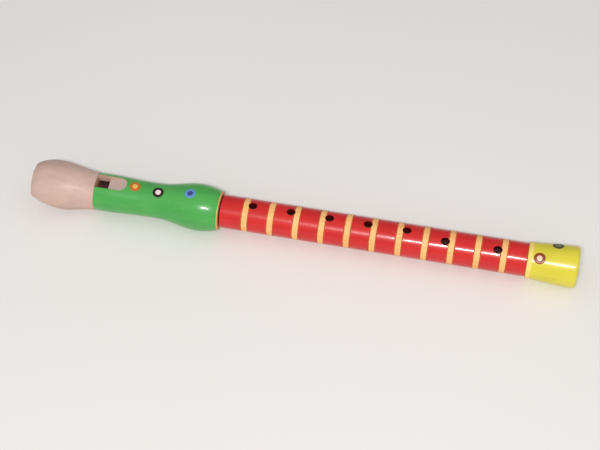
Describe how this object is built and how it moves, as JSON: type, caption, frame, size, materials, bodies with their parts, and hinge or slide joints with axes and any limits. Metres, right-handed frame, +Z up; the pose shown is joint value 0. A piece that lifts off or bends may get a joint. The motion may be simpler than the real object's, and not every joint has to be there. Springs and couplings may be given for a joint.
{
  "type": "soprano recorder",
  "caption": "Painted wooden soprano recorder: beaked mouthpiece with block, head barrel with window, ringed body with finger holes, and a flared foot.",
  "frame": {"origin": "bottom centre of the whole recorder as it lies with its finger holes up", "axes": "+X along the bore from the mouthpiece to the foot, +Y to the player's left, +Z up through the window and the finger holes"},
  "size_m": [0.32, 0.0294, 0.0285],
  "materials": {
    "bare_wood": "sanded, lightly waxed pale wood",
    "block_wood": "unfinished reddish wood",
    "green_painted_wood": "gloss green paint, bare rim at the socket",
    "cork": "waxed cork",
    "red_painted_wood": "gloss red paint with bare wood rings",
    "yellow_painted_wood": "gloss yellow paint, bare rim at the socket"
  },
  "bodies": {
    "body": {"body_tube": "red_painted_wood"},
    "upper_cork": {"upper_tenon_cork": "cork"},
    "head": {"mouthpiece": "bare_wood", "windway_block": "block_wood", "head_barrel": "green_painted_wood"},
    "lower_cork": {"lower_tenon_cork": "cork"},
    "foot": {"foot": "yellow_painted_wood"}
  },
  "joints": [
    {"name": "head_twist", "type": "hinge", "parent": "body", "child": "upper_cork", "pos_m": [-0.0478, 0, 0.01382], "axis": [1, 0, 0], "continuous": true},
    {"name": "head_pull", "type": "slide", "parent": "upper_cork", "child": "head", "axis": [-1, 0, 0], "range_m": [0, 0.032]},
    {"name": "foot_twist", "type": "hinge", "parent": "body", "child": "lower_cork", "pos_m": [0.1312, 0, 0.01382], "axis": [1, 0, 0], "continuous": true},
    {"name": "foot_pull", "type": "slide", "parent": "lower_cork", "child": "foot", "axis": [1, 0, 0], "range_m": [0, 0.022]}
  ]
}
